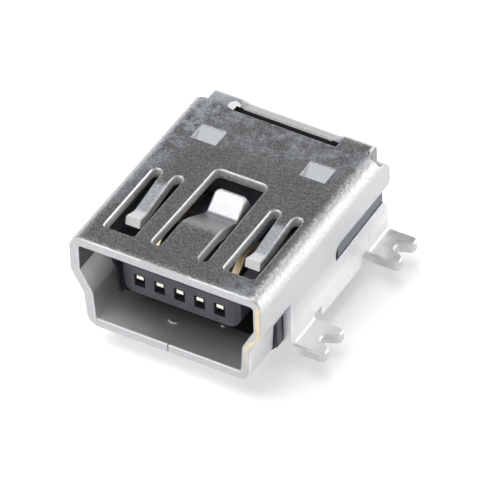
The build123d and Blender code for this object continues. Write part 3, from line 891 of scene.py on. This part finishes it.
class PORT_OT_add_burrs(bpy.types.Operator):
    """Add the two slivers of torn plating that lie in the mouth"""
    bl_idname = "port.add_burrs"
    bl_label = "Add Burrs"

    # Start, turn and end of each sliver's bend on the mouth's floor, in millimetres
    curl = ((-0.66, -4.21, SHEET), (-0.52, -4.42, SHEET), (-0.20, -4.27, SHEET))
    crumb = ((1.10, -3.60, SHEET), (1.22, -3.72, SHEET), (1.32, -3.60, SHEET))
    rings = 8
    sides = 6
    taper = 0.7

    def execute(self, context):
        settings = context.scene.port_burrs
        material = torn_plating(settings)
        self.add_sliver("floor_curl", self.curl, settings.curl_girth, material)
        self.add_sliver("floor_crumb", self.crumb, settings.crumb_girth, material)
        return {"FINISHED"}

    def add_sliver(self, name, route, girth, material):
        """Rings of points along a short bend on the floor, half as high as wide, pointed at both ends."""
        start, turn, end = (Vector(point) * MM for point in route)
        points = []
        for step in range(1, self.rings):
            t = step / self.rings
            heading = 2 * (1 - t) * (turn - start) + 2 * t * (end - turn)
            across = heading.cross(UP).normalized()
            size = girth / 2 * math.sin(math.pi * t) ** self.taper
            middle = (1 - t) ** 2 * start + 2 * t * (1 - t) * turn + t ** 2 * end + size / 2 * UP
            for side in range(self.sides):
                angle = 2 * math.pi * side / self.sides
                points.append(middle + size * (math.cos(angle) * across + math.sin(angle) / 2 * UP))
        mesh = bpy.data.meshes.new(name)
        mesh.from_pydata(points + [start, end], [], self.sliver_faces(len(points)))
        mesh.materials.append(material)
        mesh.shade_smooth()
        piece = bpy.data.objects.new(name, mesh)
        bpy.context.scene.collection.objects.link(piece)
        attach(piece, "root")

    def sliver_faces(self, first_tip):
        """Quads between the rings, and a fan from each end ring to its tip. The tips are the last points."""
        last_ring = first_tip - self.sides
        faces = []
        for side in range(self.sides):
            beside = (side + 1) % self.sides
            for ring in range(0, last_ring, self.sides):
                above = ring + self.sides
                faces.append((ring + side, above + side, above + beside, ring + beside))
            faces.append((first_tip, side, beside))
            faces.append((first_tip + 1, last_ring + beside, last_ring + side))
        return faces


class PORT_OT_set_stage(bpy.types.Operator):
    """Add the floor, the soft lights and the camera"""
    bl_idname = "port.set_stage"
    bl_label = "Set Stage"

    def execute(self, context):
        settings = context.scene.port_studio
        self.add_floor(settings)
        self.set_world(context.scene, settings)
        overhead = self.add_softbox("overhead_softbox", OVERHEAD_BEARING, settings.overhead)
        overhead.visible_glossy = False
        cards = (("front_card", FRONT_BEARING, settings.front), ("rear_card", REAR_BEARING, settings.back))
        for name, bearing, glow in cards:
            card = self.add_softbox(name, bearing, glow)
            card.visible_diffuse = False
        self.add_camera(context.scene, settings)
        return {"FINISHED"}

    def add_floor(self, settings):
        material, tree = new_finish("studio_floor")
        seen = tree.node("ShaderNodeLightPath", {}, {})
        shown = seen["Is Camera Ray"].at_least(seen["Is Glossy Ray"]).at_least(seen["Is Transmission Ray"])
        strength = shown * settings.floor_glow
        glow = tree.node("ShaderNodeEmission", {}, {"Color": WHITE, "Strength": strength})
        matt = tree.node("ShaderNodeBsdfDiffuse", {}, {"Color": colour(settings.floor)})
        both = tree.node("ShaderNodeAddShader", {}, {0: glow["Emission"], 1: matt["BSDF"]})
        tree.finish(both["Shader"])
        mesh = bpy.data.meshes.new("studio_floor")
        reach = FLOOR_REACH
        corners = [(-reach, -reach, 0), (reach, -reach, 0), (reach, reach, 0), (-reach, reach, 0)]
        mesh.from_pydata(corners, [], [(0, 1, 2, 3)])
        floor = bpy.data.objects.new("studio_floor", mesh)
        floor.location.z = POST_TIPS * MM
        mesh.materials.append(material)
        bpy.context.scene.collection.objects.link(floor)

    def set_world(self, scene, settings):
        """White to the camera. Its light is strongest at the horizon and weaker from above."""
        world = bpy.data.worlds.new("studio_world")
        world.use_nodes = True
        scene.world = world
        tree = Tree(world.node_tree)
        height = tree.split(tree.node("ShaderNodeTexCoord", {}, {})["Generated"])[2]
        seen = tree.node("ShaderNodeLightPath", {}, {})["Is Camera Ray"]
        around = 1 - height.between(*ABOVE_HORIZON) + settings.even_light
        light = around + height.between(*STRAIGHT_ABOVE) * settings.top_light
        strength = seen + (1 - seen) * light
        made = tree.node("ShaderNodeBackground", {}, {"Color": WHITE, "Strength": strength})
        tree.finish(made["Background"], "World")

    def add_softbox(self, name, bearing, glow):
        """A square soft light. Glow is how bright it looks, where 1 is white."""
        lamp = bpy.data.lights.new(name, "AREA")
        lamp.shape = "SQUARE"
        lamp.size = SOFTBOX_WIDTH
        lamp.energy = glow * math.pi * lamp.size ** 2
        holder = bpy.data.objects.new(name, lamp)
        way = Vector(bearing).normalized()
        holder.location = way * SOFTBOX_REACH
        holder.rotation_mode = "QUATERNION"
        holder.rotation_quaternion = (-way).to_track_quat("-Z", "Y")
        bpy.context.scene.collection.objects.link(holder)
        return holder

    def add_camera(self, scene, settings):
        turn, rise, roll = (math.radians(v) for v in (settings.azimuth, settings.elevation, settings.roll))
        back = Vector((math.sin(turn) * math.cos(rise), -math.cos(turn) * math.cos(rise), math.sin(rise)))
        right = Vector((math.cos(turn), math.sin(turn), 0))
        up = back.cross(right)
        across = math.cos(roll) * right + math.sin(roll) * up
        upward = -math.sin(roll) * right + math.cos(roll) * up
        lens = bpy.data.cameras.new("studio_camera")
        lens.sensor_width = SENSOR_WIDTH
        lens.lens = settings.focal * lens.sensor_width / PHOTO_PIXELS
        lens.clip_start, lens.clip_end = CLIP_NEAR, CLIP_FAR
        camera = bpy.data.objects.new("studio_camera", lens)
        place = settings.shift_right * across + settings.shift_up * upward + settings.distance * back
        axes = Matrix((across, upward, back)).transposed().to_4x4()
        camera.matrix_world = Matrix.Translation(place) @ axes
        scene.collection.objects.link(camera)
        scene.camera = camera
        scene.view_settings.view_transform = "Standard"


class PORT_PT_panel(bpy.types.Panel):
    """Lists the port's finishes and its stage"""
    bl_idname = "PORT_PT_panel"
    bl_label = "Charging Port"
    bl_space_type = "VIEW_3D"
    bl_region_type = "UI"
    bl_category = "Port"

    def draw(self, context):
        for name, group in SETTINGS.items():
            box = self.layout.box()
            settings = getattr(context.scene, name)
            for key in group.__annotations__:
                box.prop(settings, key)
        for operator in OPERATORS:
            self.layout.operator(operator.bl_idname)


SETTINGS = {
    "port_plating": PlatingSettings,
    "port_moulding": MouldingSettings,
    "port_contacts": ContactSettings,
    "port_burrs": BurrSettings,
    "port_studio": StudioSettings,
}
OPERATORS = [
    PORT_OT_finish_shell,
    PORT_OT_finish_housing,
    PORT_OT_finish_contacts,
    PORT_OT_add_burrs,
    PORT_OT_set_stage,
]
CLASSES = [*SETTINGS.values(), *OPERATORS, PORT_PT_panel]


def register():
    for cls in CLASSES:
        bpy.utils.register_class(cls)
    for name, group in SETTINGS.items():
        setattr(bpy.types.Scene, name, PointerProperty(type=group))


def unregister():
    for name in SETTINGS:
        delattr(bpy.types.Scene, name)
    for cls in reversed(CLASSES):
        bpy.utils.unregister_class(cls)


def main():
    register()
    bpy.ops.port.finish_shell()
    bpy.ops.port.finish_housing()
    bpy.ops.port.finish_contacts()
    bpy.ops.port.add_burrs()
    bpy.ops.port.set_stage()


if __name__ == "__main__":
    main()
